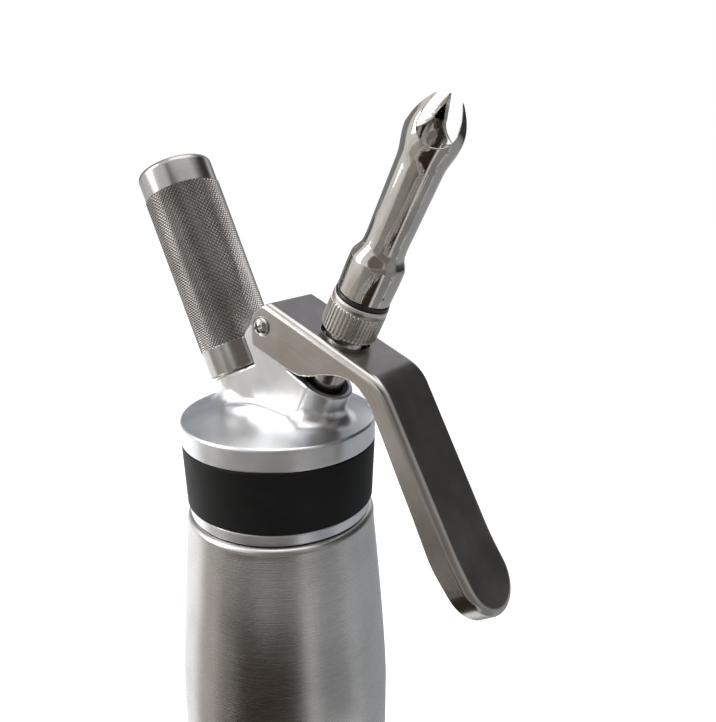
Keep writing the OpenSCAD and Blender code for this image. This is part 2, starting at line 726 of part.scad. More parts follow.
// Pressed steel press lever: top plate, two side walls with ears, and handle
module lever() {
    steps = 8;
    fall = function(i) plate_fall + (handle_fall - plate_fall) * i / steps;
    bend = function(r) [for (i = [0 : steps]) bend_centre + r * [sin(fall(i)), cos(fall(i))]];
    arch_depth = function(i) ease(ear_depth, wall_top, i, 0, steps);
    arch = [for (i = [steps : -1 : 0])
        plate_back + (arch_from + (arch_to - arch_from) * i / steps) * plate_dir + arch_depth(i) * plate_in];
    ear_foot = (ear_x - plate_x + ear_depth * sin(plate_fall)) / cos(plate_fall);
    ear_low = plate_back + ear_foot * plate_dir + ear_depth * plate_in;
    outline = concat(
        [[ear_x + 1.6, plate_h - 3.7], plate_back],
        bend(bend_r),
        [flick_at, lever_end, lever_end + wall_end * 0.8 * end_in, flick_at + wall_end * grip_in,
         bend_corner + bend_tangent * grip_dir + wall_top * grip_in],
        arch,
        [ear_low + 1.4 * plate_dir, ear_low + [0, 1.4], [ear_x, plate_h - 6]]);
    past_end = lever_end + 2 * end_dir;
    before_back = plate_back - 14 * plate_dir;
    inside = concat(
        [before_back + lever_t * plate_in],
        bend(bend_r - lever_t),
        [flick_at + lever_t * grip_in, past_end + lever_t * end_in, past_end + 30 * end_in,
         flick_at + 30 * grip_in, bend_corner + 30 * grip_in + 20 * plate_in, before_back + 34 * plate_in]);
    color("#77736d")
        difference() {
            side_plate(outline, lever_w);
            lever_end_cut(end_round_r);
            difference() {
                side_plate(inside, lever_w - 2 * lever_t);
                lever_end_cut(end_round_r - lever_t);
            }
            on_valve(plate_s) rotate([0, -lean, 0]) {
                for (side = [-1, 1])
                    translate([side * (slot_l - slot_w), 0, -10]) cylinder(r = slot_w, h = 20);
                translate([slot_w - slot_l, -slot_w, -10]) cube([2 * (slot_l - slot_w), 2 * slot_w, 20]);
            }
            on_pivot() cylinder(r = screw_d / 2 + fit_gap, h = 60, center = true);
        }
}

// All that lies past the round end of the handle, for a round end of radius r
module lever_end_cut(r)
    translate([lever_end[0], 0, collar_z + lever_end[1]])
        rotate([0, end_fall, 0])
            translate([-end_round_r, 0, 0])
                difference() {
                    translate([0, -40, -40]) cube([80, 80, 80]);
                    cylinder(r = r, h = 100, center = true);
                }

// Pin that turns in the tower, held between the ears by the two screws
module pivot_pin()
    color("#a09f9c")
        on_pivot()
            difference() {
                cylinder(d = pivot_d, h = lever_w - 2 * lever_t, center = true);
                for (side = [0, 1])
                    rotate([180 * side, 0, 0])
                        translate([0, 0, lever_w / 2 - lever_t - screw_l]) cylinder(d = screw_d, h = 20);
            }

// Two cross-head screws, one through each ear
module pivot_screws() {
    slot_w = 0.8;
    slot_l = 3.8;
    slot_t = 1.2;
    dome = concat([[0, 0], [screw_head_d / 2, 0]],
        [for (i = [1 : 6]) [screw_head_d / 2 * cos(15 * i), screw_head_h * (0.25 + 0.75 * sin(15 * i))]]);
    color("#bdbab5")
        for (side = [0, 1])
            on_pivot() rotate([180 * side, 0, 0]) translate([0, 0, lever_w / 2])
                difference() {
                    union() {
                        translate([0, 0, -lever_t - screw_l]) cylinder(d = screw_d, h = lever_t + screw_l + eps);
                        rotate_extrude() polygon(dome);
                    }
                    for (turn = [20, 110])
                        rotate([0, 0, turn])
                            translate([-slot_l / 2, -slot_w / 2, screw_head_h - slot_t]) cube([slot_l, slot_w, 2]);
                }
}

bottle();
head_body();
grip_band();
head_gasket();
charger_stud();
piercing_pin();
charger_seal();
gas_valve_seal();
charger_holder();
valve_stem();
stem_o_rings();
poppet_seal();
valve_spring();
stem_collar();
port_wiper();
valve_nut();
nozzle_o_ring();
nozzle();
lever();
pivot_pin();
pivot_screws();
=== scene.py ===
import math

import bmesh
import bpy
import numpy as np
from mathutils import Matrix, Vector


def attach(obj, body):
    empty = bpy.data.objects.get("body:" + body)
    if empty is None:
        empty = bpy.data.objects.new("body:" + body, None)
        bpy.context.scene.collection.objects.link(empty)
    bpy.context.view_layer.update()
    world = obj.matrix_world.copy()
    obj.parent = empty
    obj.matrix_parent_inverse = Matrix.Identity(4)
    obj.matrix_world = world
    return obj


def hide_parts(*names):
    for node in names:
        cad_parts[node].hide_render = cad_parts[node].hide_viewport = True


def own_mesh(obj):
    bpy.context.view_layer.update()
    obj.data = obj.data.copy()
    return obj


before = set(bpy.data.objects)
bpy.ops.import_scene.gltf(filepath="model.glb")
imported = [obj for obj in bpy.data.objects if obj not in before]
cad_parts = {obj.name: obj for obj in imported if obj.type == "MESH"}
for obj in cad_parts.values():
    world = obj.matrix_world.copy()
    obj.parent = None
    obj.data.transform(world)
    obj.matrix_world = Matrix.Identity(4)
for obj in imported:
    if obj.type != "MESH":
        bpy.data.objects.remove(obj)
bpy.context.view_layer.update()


# --- Bottle -------------------------------------------------------------------------------------
# A deep-drawn stainless steel bottle, brushed round its axis, so that light stretches into
# upright streaks on it. A rolled thread on its neck takes the head.

def linear(colour):
    """sRGB hex colour as linear red, green, blue and 1."""
    parts = [int(colour[i:i + 2], 16) / 255 for i in (1, 3, 5)]
    return [c / 12.92 if c <= 0.04045 else ((c + 0.055) / 1.055) ** 2.4 for c in parts] + [1]


def add(tree, kind, inputs=(), **settings):
    """Adds a node. inputs maps a socket's name or number to a value or to another node's socket."""
    made = tree.nodes.new(kind)
    for key, value in settings.items():
        setattr(made, key, value)
    for key, value in dict(inputs).items():
        if isinstance(value, bpy.types.NodeSocket):
            tree.links.new(value, made.inputs[key])
        else:
            made.inputs[key].default_value = value
    return made


def surface(name, **values):
    """New material with a Principled shader set to constant values. Returns material, tree, shader."""
    material = bpy.data.materials.new(name)
    material.use_nodes = True
    shader = material.node_tree.nodes["Principled BSDF"]
    for key, value in values.items():
        shader.inputs[key.replace("_", " ")].default_value = value
    return material, material.node_tree, shader


def tones(tree, shader, factor, *stops):
    """Colours the shader from a 0 to 1 factor through stops of (place, hex colour)."""
    ramp = add(tree, "ShaderNodeValToRGB", {0: factor})
    while len(ramp.color_ramp.elements) < len(stops):
        ramp.color_ramp.elements.new(0.5)
    for element, (place, colour) in zip(ramp.color_ramp.elements, stops):
        element.position = place
        element.color = linear(colour)
    tree.links.new(ramp.outputs[0], shader.inputs["Base Color"])


def outline(*corners):
    """Closed outline of (radius, height) corners. A third number rounds that corner to its radius."""
    points = []
    for i, corner in enumerate(corners):
        here = Vector(corner[:2])
        bend = corner[2] if len(corner) > 2 else 0
        back = Vector(corners[i - 1][:2]) - here
        on = Vector(corners[(i + 1) % len(corners)][:2]) - here
        if not bend or back.length < 1e-6 or on.length < 1e-6:
            points.append(tuple(here))
            continue
        half = back.angle(on) / 2
        cut = min(bend / math.tan(half), 0.48 * back.length, 0.48 * on.length)
        radius = cut * math.tan(half)
        centre = here + (back.normalized() + on.normalized()).normalized() * radius / math.sin(half)
        first = (here + back.normalized() * cut - centre).normalized()
        last = (here + on.normalized() * cut - centre).normalized()
        turn = first.angle(last)
        steps = 4 if bend < 1.5 else 8
        for k in range(steps + 1):
            near, far = math.sin(turn * (1 - k / steps)), math.sin(turn * k / steps)
            points.append(tuple(centre + (first * near + last * far) / math.sin(turn) * radius))
    return points


def placed(name, data):
    """New object of a mesh, lamp or camera, in the scene."""
    made = bpy.data.objects.new(name, data)
    bpy.context.collection.objects.link(made)
    return made


def lathe(name, points, around=180, shape=None):
    """Mesh turned about its own Z from a closed outline in mm. shape(angle, radius, height) may change
    the radii."""
    angle = np.arange(around) * 2 * np.pi / around
    r = np.array([p[0] for p in points])
    z = np.array([p[1] for p in points])
    grid_r, grid_z, grid_a = np.broadcast_arrays(r[:, None], z[:, None], angle[None, :])
    if shape:
        grid_r = shape(grid_a, grid_r, grid_z)
    spots = np.stack([grid_r * np.cos(grid_a), grid_r * np.sin(grid_a), grid_z], -1).reshape(-1, 3) / 1000
    faces = []
    for i in range(len(points)):
        j = (i + 1) % len(points)
        if max(r[i], r[j]) < 1e-6:
            continue
        for k in range(around):
            m = (k + 1) % around
            quad = [i * around + k, i * around + m, j * around + m, j * around + k]
            if r[i] < 1e-6:
                quad = [i * around, quad[2], quad[3]]
            elif r[j] < 1e-6:
                quad = [quad[0], quad[1], j * around]
            faces.append(quad)
    mesh = bpy.data.meshes.new(name)
    mesh.from_pydata(spots.tolist(), [], faces)
    work = bmesh.new()
    work.from_mesh(mesh)
    bmesh.ops.delete(work, geom=[v for v in work.verts if not v.link_faces], context="VERTS")
    bmesh.ops.recalc_face_normals(work, faces=work.faces)
    work.to_mesh(mesh)
    work.free()
    mesh.shade_smooth()
    mesh.set_sharp_from_angle(angle=math.radians(40))
    made = placed(name, mesh)
    weighted = made.modifiers.new("flat faces stay flat", "WEIGHTED_NORMAL")
    weighted.keep_sharp = True
    return made


def fit(piece, material, body, node, place=None):
    """Gives a piece its finish, sets it in place, hangs it on its body and hides the CAD node that it
    replaces.
    """
    piece.data.materials.append(material)
    if place is not None:
        piece.matrix_world = place
    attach(piece, body)
    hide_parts(node)


def thread_ridge(turn):
    """Height from 0 to 1 of a thread's flat-topped ridge, over one pitch."""
    return np.clip(1.5 - 4.2 * np.abs(turn - 0.5), 0, 1)


def thread(angle, radius, height, low, high, root, crest, pitch):
    """Radius of a rolled thread between two heights, on a wall of radius root."""
    turn = (height / pitch - angle / (2 * np.pi)) % 1
    fade = np.clip((height - low) / 1.5, 0, 1) * np.clip((high - height) / 1.5, 0, 1)
    on_wall = np.abs(radius - root) < 1e-3
    return np.where(on_wall, root + (crest - root) * thread_ridge(turn) * fade, radius)


def brushed_round(name, stops, roughness, lines):
    """Metal brushed or turned round its Z axis: thin rings of lighter and darker tone, lines mm wide,
    and a highlight drawn out along the axis."""
    material, tree, shader = surface(name, Metallic=1, Roughness=roughness, Anisotropic=0.55)
    spot = add(tree, "ShaderNodeTexCoord").outputs["Object"]
    # The rings are coarser here than on the real one, so that they show
    thin = add(tree, "ShaderNodeMapping", {0: spot, "Scale": (25, 25, 1000 / lines)})
    grit = add(tree, "ShaderNodeTexNoise",
               {0: thin.outputs[0], "Scale": 1.0, "Detail": 4.0, "Roughness": 0.6})
    # Soft patches about 25 mm wide, left by handling
    cloud = add(tree, "ShaderNodeTexNoise", {0: spot, "Scale": 40.0, "Detail": 3.0})
    both = add(tree, "ShaderNodeMix", {0: 0.25, 2: cloud.outputs[0], 3: grit.outputs[0]})
    tones(tree, shader, both.outputs[0], *stops)
    rough = add(tree, "ShaderNodeMapRange", {0: grit.outputs[0], 3: roughness - 0.05, 4: roughness + 0.06})
    tree.links.new(rough.outputs[0], shader.inputs["Roughness"])
    bump = add(tree, "ShaderNodeBump", {"Height": grit.outputs[0], "Strength": 0.12, "Distance": 0.00002})
    tree.links.new(bump.outputs[0], shader.inputs["Normal"])
    around = add(tree, "ShaderNodeTangent", direction_type="RADIAL", axis="Z")
    tree.links.new(around.outputs[0], shader.inputs["Tangent"])
    return material


bottle_r, shoulder_r, neck_r, neck_pitch = 39, 33.6, 28, 3.5
bottle_wall, shoulder_z, mouth_z = 1.2, 165, 184
# The side, straight and then drawn in towards the shoulder, in one soft curve
side = [(bottle_r - 5.4 * t ** 1.25, 92 + 68 * t) for t in np.linspace(0, 1, 9)]
inside = [(r - bottle_wall, z) for r, z in side[:0:-1]]
neck = [(neck_r, 166 + 0.3 * k) for k in range(58)]
bottle_points = outline(
    (0, 0), (bottle_r, 0, 5), *side, (shoulder_r, shoulder_z, 3.8), (neck_r, shoulder_z, 0.5), *neck,
    (neck_r, mouth_z, 0.4), (26.8, mouth_z, 0.4), (26.8, 163.8, 0.8), (32.4, 163.8, 2.6), *inside,
    (37.8, 1.6, 3.8), (0, 1.6))
bottle = lathe("bottle", bottle_points, 240,
               lambda a, r, z: thread(a, r, z, 167.5, 182, neck_r, 28.7, neck_pitch))
# Soft grey with fine rings, which stretch each light into an upright streak
brushed_steel = brushed_round(
    "brushed stainless steel", [(0.3, "#aeacaa"), (0.5, "#c0bebc"), (0.7, "#cccac8")], 0.27, 0.3)
fit(bottle, brushed_steel, "bottle", "bottle")


# --- Head gasket --------------------------------------------------------------------------------
# A moulded silicone ring that lies in the head and seals on the bottle's mouth. Greyish white,
# with a soft bloom.

# Milky and soft, with a bloom in patches about 3 mm wide
silicone, tree, shader = surface("silicone rubber, natural", Roughness=0.55, IOR=1.41)
shader.inputs["Subsurface Weight"].default_value = 0.15
shader.inputs["Subsurface Scale"].default_value = 0.002
bloom = add(tree, "ShaderNodeTexNoise", {"Vector": add(tree, "ShaderNodeTexCoord").outputs["Object"],
                                         "Scale": 300.0, "Detail": 4.0})
tones(tree, shader, bloom.outputs[0], (0.35, "#cfccc4"), (0.7, "#dedbd4"))
gasket_in, gasket_out, gasket_low, gasket_high = 24.5, 29, 184.1, 186.5
gasket = lathe("head_gasket", outline(
    (gasket_in, gasket_low, 0.5), (gasket_out, gasket_low, 0.5), (gasket_out, gasket_high, 0.5),
    (gasket_in, gasket_high, 0.5)))
fit(gasket, silicone, "head", "head_gasket")


# --- Head ---------------------------------------------------------------------------------------
# One aluminium casting: a threaded skirt with a groove for the grip band, a domed top, a port
# each for the charger and the valve, and an upright web for the lever's pivot. The casting is
# blasted and then polished, so it is satin and its corners are soft.

band_low, band_top = 169.65, 191.9
head_r, head_low = 33.9, 165.4
dome_centre, dome_r, ceiling_r = 105.5, 100, 93.8
charger_port_r, charger_port_top = 10.9, 23.3
valve_port_r, valve_port_top, well_r = 9.4, 26.5, 6.7
wiper_r, wiper_low = 7.5, 23.9
web_half, pivot_x, pivot_h = 9.4, 4.6, 41.4


def port(x, tilt):
    """The frame of a port: its place along +X on the band's level in mm, and its lean in degrees."""
    return Matrix.Translation((x / 1000, 0, band_top / 1000)) @ Matrix.Rotation(math.radians(tilt), 4, "Y")


charger_axis = port(-4.5, -26)
valve_axis = port(9.9, 26.5)


def up(axis, distance):
    """A place a distance in mm up a port's axis."""
    return axis @ Matrix.Translation((0, 0, distance / 1000))


def meet(a, b, r):
    """Distance to what lies in both shapes, with the corner between them rounded to r."""
    return np.minimum(-r, np.maximum(a, b)) + np.hypot(np.maximum(r + a, 0), np.maximum(r + b, 0))


def join(a, b, r):
    """Distance to two shapes joined with a fillet of radius r."""
    return np.maximum(r, np.minimum(a, b)) - np.hypot(np.maximum(r - a, 0), np.maximum(r - b, 0))


def melt(a, b, k):
    """Distance to two shapes that flow into each other over a width k."""
    h = np.maximum(k - np.abs(a - b), 0) / k
    return np.minimum(a, b) - h * h * k / 4


def outline_distance(corners, x, z):
    """Distance in mm from (x, z) to a closed outline, negative inside it."""
    nearest = np.full(x.shape, 1e9)
    inside = np.zeros(x.shape, bool)
    for (ax, az), (bx, bz) in zip(corners, corners[1:] + corners[:1]):
        ex, ez, px, pz = bx - ax, bz - az, x - ax, z - az
        t = np.clip((px * ex + pz * ez) / (ex * ex + ez * ez + 1e-12), 0, 1)
        nearest = np.minimum(nearest, (px - t * ex) ** 2 + (pz - t * ez) ** 2)
        if az != bz:
            inside ^= ((az > z) != (bz > z)) & (px < ex * pz / ez)
    return np.where(inside, -1, 1) * np.sqrt(nearest)


def along(points, axis):
    """Points in mm as radius and height in the frame of an axis, with their x and y there."""
    turn = np.array(axis.inverted().to_3x3())
    local = (points - np.array(axis.translation) * 1000) @ turn.T
    return np.hypot(local[:, 0], local[:, 1]), local[:, 2], local[:, 0], local[:, 1]


def skin(name, distance, low, high, cell):
    """Mesh of the surface where distance(points) is 0, in mm. Each corner is drawn on to the surface
    and takes its normal from it."""
    low = np.array(low, float)
    blocks = np.ceil((np.array(high) - low) / (4 * cell)).astype(int)
    ends = [low[a] + 4 * cell * np.arange(blocks[a] + 1) for a in range(3)]
    coarse = distance(np.stack(np.meshgrid(*ends, indexing="ij"), -1).reshape(-1, 3)).reshape(blocks + 1)
    near = np.full(blocks, 1e9)
    for i in (0, 1):
        for j in (0, 1):
            for k in (0, 1):
                near = np.minimum(near, np.abs(coarse[i:blocks[0] + i, j:blocks[1] + j, k:blocks[2] + k]))
    field = coarse[:-1, :-1, :-1].repeat(4, 0).repeat(4, 1).repeat(4, 2)
    starts = np.argwhere(near < 9.5 * cell) * 4
    inner = np.stack(np.meshgrid(*[np.arange(4)] * 3, indexing="ij"), -1).reshape(-1, 3)
    for part in np.array_split(starts, max(1, len(starts) // 4000)):
        spots = (part[:, None] + inner[None]).reshape(-1, 3)
        field[tuple(spots.T)] = distance(low + spots * cell)
    solid = field < 0
    corner_cells, corner_spots, sides = [], [], []
    for a in range(3):
        b, c = (a + 1) % 3, (a + 2) % 3
        step = np.eye(3, dtype=int)[a]
        last = [slice(None)] * 3
        last[a] = slice(0, -1)
        first = [slice(None)] * 3
        first[a] = slice(1, None)
        edge = np.argwhere(solid[tuple(last)] != solid[tuple(first)])
        start, end = field[tuple(edge.T)], field[tuple((edge + step).T)]
        spot = edge + (start / (start - end))[:, None] * step
        ring = []
        for db, dc in ((0, 0), (-1, 0), (-1, -1), (0, -1)):
            cell_at = edge.copy()
            cell_at[:, b] += db
            cell_at[:, c] += dc
            ring.append(np.ravel_multi_index(cell_at.T, field.shape))
            corner_cells.append(ring[-1])
            corner_spots.append(spot)
        ring = np.stack(ring, 1)
        sides.append(np.where((start > 0)[:, None], ring[:, ::-1], ring))
    cells, corner = np.unique(np.concatenate(corner_cells), return_inverse=True)
    spots = np.concatenate(corner_spots)
    shared = np.bincount(corner)
    places = low + cell * np.stack([np.bincount(corner, spots[:, a]) / shared for a in range(3)], 1)
    quads = np.searchsorted(cells, np.concatenate(sides))

    def slope(p):
        h = 0.02
        rise = [distance(p + h * step) - distance(p - h * step) for step in np.eye(3)]
        return np.stack(rise, 1) / (2 * h)

    tail = quads.ravel()
    tip = np.roll(quads, -1, 1).ravel()
    links = np.bincount(tail, minlength=len(places))[:, None]
    for _ in range(3):
        mean = np.stack([np.bincount(tail, places[tip, a], len(places)) for a in range(3)], 1) / links
        places += 0.6 * (mean - places)
        for _ in range(2):
            grade = slope(places)
            off = distance(places)[:, None] * grade / np.maximum((grade ** 2).sum(1, keepdims=True), 0.2)
            places -= np.clip(off, -cell, cell)
    normals = slope(places)
    normals /= np.linalg.norm(normals, axis=1, keepdims=True) + 1e-9
    mesh = bpy.data.meshes.new(name)
    mesh.from_pydata((places / 1000).tolist(), [], quads.tolist())
    mesh.shade_smooth()
    mesh.normals_split_custom_set_from_vertices(normals.tolist())
    return placed(name, mesh)


# The web's outline in its plane: along +X, and height above the band
web = [(-14.7, 5.9), (-14.7, 20.9), (-1.95, 27.2), (-6.4, 36.2), (-5.65, 37.9)]
web += [(pivot_x + 5.5 * math.cos(a), pivot_h + 5.5 * math.sin(a))
        for a in np.radians(np.linspace(125, 10, 12))]
web += [(13.3, 27.9), (21.7, 23.7), (13.4, 7)]


def casting(p):
    """Distance from points in mm to the head's casting."""
    x, y, z = p[:, 0], p[:, 1], p[:, 2]
    r = np.hypot(x, y)
    charger_r, charger_s, charger_x, charger_y = along(p, charger_axis)
    valve_r, valve_s = along(p, valve_axis)[:2]
    dome = np.sqrt(r * r + (z - dome_centre) ** 2)
    cap = meet(meet(r - head_r, dome - dome_r, 0.8), band_top - z, 0.5)
    skirt = np.maximum(r - 31, np.maximum(head_low - z, z - 196))
    foot = meet(meet(r - 32.2, head_low - z, 0.6), z - 169.6, 0.6)
    # The charger port is drawn out 2 mm away from the web
    port_wall = np.hypot(charger_x - np.clip(charger_x, -2, 0), charger_y) - charger_port_r
    charger_port = meet(port_wall, charger_s - charger_port_top, 0.6)
    valve_port = meet(valve_r - valve_port_r, valve_s - valve_port_top, 0.7)
    upright = meet(outline_distance(web, x, z - band_top), np.abs(y) - web_half, 0.9)
    top = melt(charger_port, melt(valve_port, upright, 0.7), 2.4)
    # The fillet at the dome: wide round the ports, tight along the web's flank
    fillet = 2.0 + 3 * np.clip((-6 - x) / 6, 0, 1) + 3.5 * np.clip((x - 13) / 7, 0, 1)
    shape = np.minimum(join(cap, top, fillet), np.minimum(skirt, foot))
    turn = ((z - 1.2) / neck_pitch - np.arctan2(y, x) / (2 * np.pi)) % 1
    groove = 0.7 * thread_ridge(turn) * np.clip((mouth_z - z) / 2, 0, 1)
    bore = np.maximum((r - gasket_out - groove) * 0.7, z - gasket_high)
    hollow = np.maximum(r - gasket_in, dome - ceiling_r)
    shape = meet(shape, -np.minimum(bore, hollow), 0.4)
    guide = np.maximum(valve_r - 9, np.maximum(-1.5 - valve_s, valve_s - 11))
    shape = np.minimum(shape, guide)
    charger_hole = np.maximum(charger_r - 7, 12.1 - charger_s)
    well = np.minimum(np.maximum(valve_r - well_r, 12 - valve_s),
                      np.maximum(valve_r - wiper_r, wiper_low - valve_s))
    passage = np.minimum(valve_r - 4.06, np.maximum(valve_r - 5.8, valve_s - 4))
    passage = np.maximum(passage, -3 - valve_s)
    hinge = np.hypot(x - pivot_x, z - band_top - pivot_h) - 3.05
    holes = np.minimum(np.minimum(charger_hole, well), np.minimum(passage, hinge))
    return meet(shape, -holes, 0.35)


# Silvery and satin, with soft bright patches and no clear reflections
aluminium, tree, shader = surface("satin polished cast aluminium", Metallic=1, Roughness=0.3)
spot = add(tree, "ShaderNodeTexCoord").outputs["Object"]
# Broad soft patches about 12 mm wide, where the polish has worn the blasting more or less
cloud = add(tree, "ShaderNodeTexNoise", {"Vector": spot, "Scale": 85.0, "Detail": 3.0})
# Blasted grain, 0.3 mm here so that it shows
grain = add(tree, "ShaderNodeTexNoise", {"Vector": spot, "Scale": 3300.0, "Detail": 3.0})
both = add(tree, "ShaderNodeMix", {0: 0.3, 2: cloud.outputs[0], 3: grain.outputs[0]})
tones(tree, shader, both.outputs[0], (0.3, "#c9ccd0"), (0.5, "#dcdddf"), (0.7, "#e6e6e6"))
rough = add(tree, "ShaderNodeMapRange", {0: cloud.outputs[0], 3: 0.26, 4: 0.36})
tree.links.new(rough.outputs[0], shader.inputs["Roughness"])
bump = add(tree, "ShaderNodeBump", {"Height": grain.outputs[0], "Strength": 0.15, "Distance": 0.00003})
tree.links.new(bump.outputs[0], shader.inputs["Normal"])

head = skin("head", casting, (-34.6, -34.6, 164.8), (34.6, 34.6, 240), 0.42)
fit(head, aluminium, "head", "head_body")


# --- Grip band ----------------------------------------------------------------------------------
# A black silicone band stretched into the groove round the head, so that wet hands can turn
# it. Matte, with a fine moulded grain and a soft edge top and bottom.

# Deep black, which hardly shines
black_silicone, tree, shader = surface("silicone rubber, black, matte", Roughness=0.6, IOR=1.41)
shader.inputs["Specular IOR Level"].default_value = 0.3
spot = add(tree, "ShaderNodeTexCoord").outputs["Object"]
# Moulded grain about 0.4 mm across, over dusty patches about 15 mm wide
grain = add(tree, "ShaderNodeTexNoise", {"Vector": spot, "Scale": 2500.0, "Detail": 2.0})
dust = add(tree, "ShaderNodeTexNoise", {"Vector": spot, "Scale": 65.0, "Detail": 5.0, "Roughness": 0.65})
tones(tree, shader, dust.outputs[0], (0.3, "#080808"), (0.55, "#0d0d0d"), (0.75, "#141414"))
rough = add(tree, "ShaderNodeMapRange", {0: dust.outputs[0], 3: 0.5, 4: 0.7})
tree.links.new(rough.outputs[0], shader.inputs["Roughness"])
bump = add(tree, "ShaderNodeBump", {"Height": grain.outputs[0], "Strength": 0.25, "Distance": 0.00004})
tree.links.new(bump.outputs[0], shader.inputs["Normal"])
band_high = band_top - 0.1
band = lathe("grip_band", outline(
    (30.9, band_low), (32.95, band_low, 0.6), (33.8, band_high, 0.6), (30.9, band_high)), 240)
fit(band, black_silicone, "head", "grip_band")


# --- Charger stud, piercing pin and seals -------------------------------------------------------
# The holder screws on a turned and nickel-plated brass stud in the charger port. A hollow
# steel pin stands in it and pierces the charger's neck. Rubber seals hold the gas.

# Nickel that lets a little of the brass's warmth through
nickel_brass = brushed_round("nickel-plated brass, turned", [(0.3, "#b3ab97"), (0.7, "#cfc8b4")], 0.22, 0.35)
stud_r = 10.3
stud_thread = [(stud_r, 24.4 + 0.25 * k) for k in range(38)]
stud = lathe("charger_stud", outline(
    (1.25, 14.9), (7, 14.9, 0.4), (7, charger_port_top), (stud_r, charger_port_top), *stud_thread,
    (stud_r, 34.5, 0.5), (5.2, 34.5, 0.3), (5.2, 30.1), (1.25, 30.1)),
    144, lambda a, r, z: thread(a, r, z, 24.6, 33.4, stud_r, 10.9, 2))
fit(stud, nickel_brass, "head", "charger_stud", charger_axis)

# Cool and fine-grained
ground_steel = brushed_round("ground stainless steel", [(0.3, "#9fa0a3"), (0.7, "#bdbdbf")], 0.2, 0.25)
# Black with a soft wet shine, and smears about 2 mm wide
nitrile, tree, shader = surface("nitrile rubber, black, smooth", Roughness=0.32, IOR=1.52)
spot = add(tree, "ShaderNodeTexCoord").outputs["Object"]
smear = add(tree, "ShaderNodeTexNoise", {"Vector": spot, "Scale": 500.0, "Detail": 3.0})
tones(tree, shader, smear.outputs[0], (0.3, "#0c0c0d"), (0.7, "#161617"))
rough = add(tree, "ShaderNodeMapRange", {0: smear.outputs[0], 3: 0.26, 4: 0.42})
tree.links.new(rough.outputs[0], shader.inputs["Roughness"])


def dress(node, material):
    """Gives a CAD piece whose shape is right its finish."""
    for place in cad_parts[node].material_slots:
        place.material = material


dress("piercing_pin", ground_steel)
dress("charger_seal", nitrile)
dress("gas_valve_seal", nitrile)


# --- Charger holder -----------------------------------------------------------------------------
# A turned tube, closed at its top, that holds one gas charger and screws down on the stud. A
# diamond knurl is rolled between two polished rings, so it sparkles in rows of small points.

ring_r, holder_length = 13.2, 76
knurl_low, knurl_high = 9.8, 66.2
knurl_columns, knurl_rows = 56, 38
holder_place = up(charger_axis, 23.8)
holder = lathe("holder_tube", outline(
    (9.7, 0.01, 0.3), (11.1, 0, 0.2), (ring_r, 0, 0.5), (ring_r, knurl_low, 0.25), (12.5, knurl_low + 0.05),
    (12.5, knurl_high - 0.05), (ring_r, knurl_high, 0.25), (ring_r, holder_length, 2.2), (0, holder_length),
    (0, 74), (9.7, 74, 3), (9.7, 12.4), (11.1, 12.4), (11.1, 0.3)), 216)


def knurl(name, low, high, valley, crest, columns, rows):
    """Shell of diamond points between two heights in mm, closed at its ends and inside."""
    spots, faces = [], []

    def spot(column, height, radius):
        a = column * math.pi / columns
        spots.append((radius * math.cos(a) / 1000, radius * math.sin(a) / 1000, height / 1000))
        return len(spots) - 1

    rise = (high - low) / (2 * rows)
    cross = {(i, j): spot(i, low + j * rise, valley)
             for j in range(2 * rows + 1) for i in range(2 * columns) if (i + j) % 2 == 0}
    flat = 0.22
    ends = {0: [], 2 * rows: []}
    for j in range(2 * rows + 1):
        for i in range((j + 1) % 2, 2 * columns, 2):
            left, right = cross[(i - 1) % (2 * columns), j], cross[(i + 1) % (2 * columns), j]
            down = cross.get((i, j - 1)) if j else None
            over = cross.get((i, j + 1)) if j < 2 * rows else None
            z = low + j * rise
            top_left, top_right = spot(i - flat, z, crest), spot(i + flat, z, crest)
            top_down = spot(i, z - flat * rise, crest) if down is not None else None
            top_over = spot(i, z + flat * rise, crest) if over is not None else None
            if down is not None:
                faces += [[left, down, top_down, top_left], [down, right, top_right, top_down]]
            if over is not None:
                faces += [[right, over, top_over, top_right], [over, left, top_left, top_over]]
            faces.append([v for v in (top_left, top_down, top_right, top_over) if v is not None])
            if j in ends:
                ends[j] += [left, top_left, top_right]
    inner = {}
    for j, z in ((0, low), (2 * rows, high)):
        inner[j] = []
        for v in ends[j]:
            a = math.atan2(spots[v][1], spots[v][0])
            spots.append((0.0118 * math.cos(a), 0.0118 * math.sin(a), z / 1000))
            inner[j].append(len(spots) - 1)
        n = len(ends[j])
        for k in range(n):
            m = (k + 1) % n
            side = [ends[j][k], ends[j][m], inner[j][m], inner[j][k]]
            faces.append(side if j else side[::-1])
    n = len(inner[0])
    last = inner[2 * rows]
    for k in range(n):
        m = (k + 1) % n
        faces.append([inner[0][k], last[k], last[m], inner[0][m]])
    mesh = bpy.data.meshes.new(name)
    mesh.from_pydata(spots, [], faces)
    mesh.validate()
    return placed(name, mesh)


# Polished grey steel: the rings mirror in streaks and the knurl sparkles
knurled_steel, tree, shader = surface("knurled and polished stainless steel", Metallic=1, Roughness=0.2)
spot = add(tree, "ShaderNodeTexCoord").outputs["Object"]
# Turning marks 0.25 mm apart round the rings, over warm and cool patches about 15 mm wide
thin = add(tree, "ShaderNodeMapping", {0: spot, "Scale": (20, 20, 4000)})
turned = add(tree, "ShaderNodeTexNoise", {0: thin.outputs[0], "Scale": 1.0, "Detail": 3.0})
cloud = add(tree, "ShaderNodeTexNoise", {"Vector": spot, "Scale": 65.0, "Detail": 4.0})
both = add(tree, "ShaderNodeMix", {0: 0.35, 2: cloud.outputs[0], 3: turned.outputs[0]})
tones(tree, shader, both.outputs[0], (0.3, "#989591"), (0.5, "#aaa7a4"), (0.7, "#b8b6b3"))
rough = add(tree, "ShaderNodeMapRange", {0: turned.outputs[0], 3: 0.14, 4: 0.26})
tree.links.new(rough.outputs[0], shader.inputs["Roughness"])

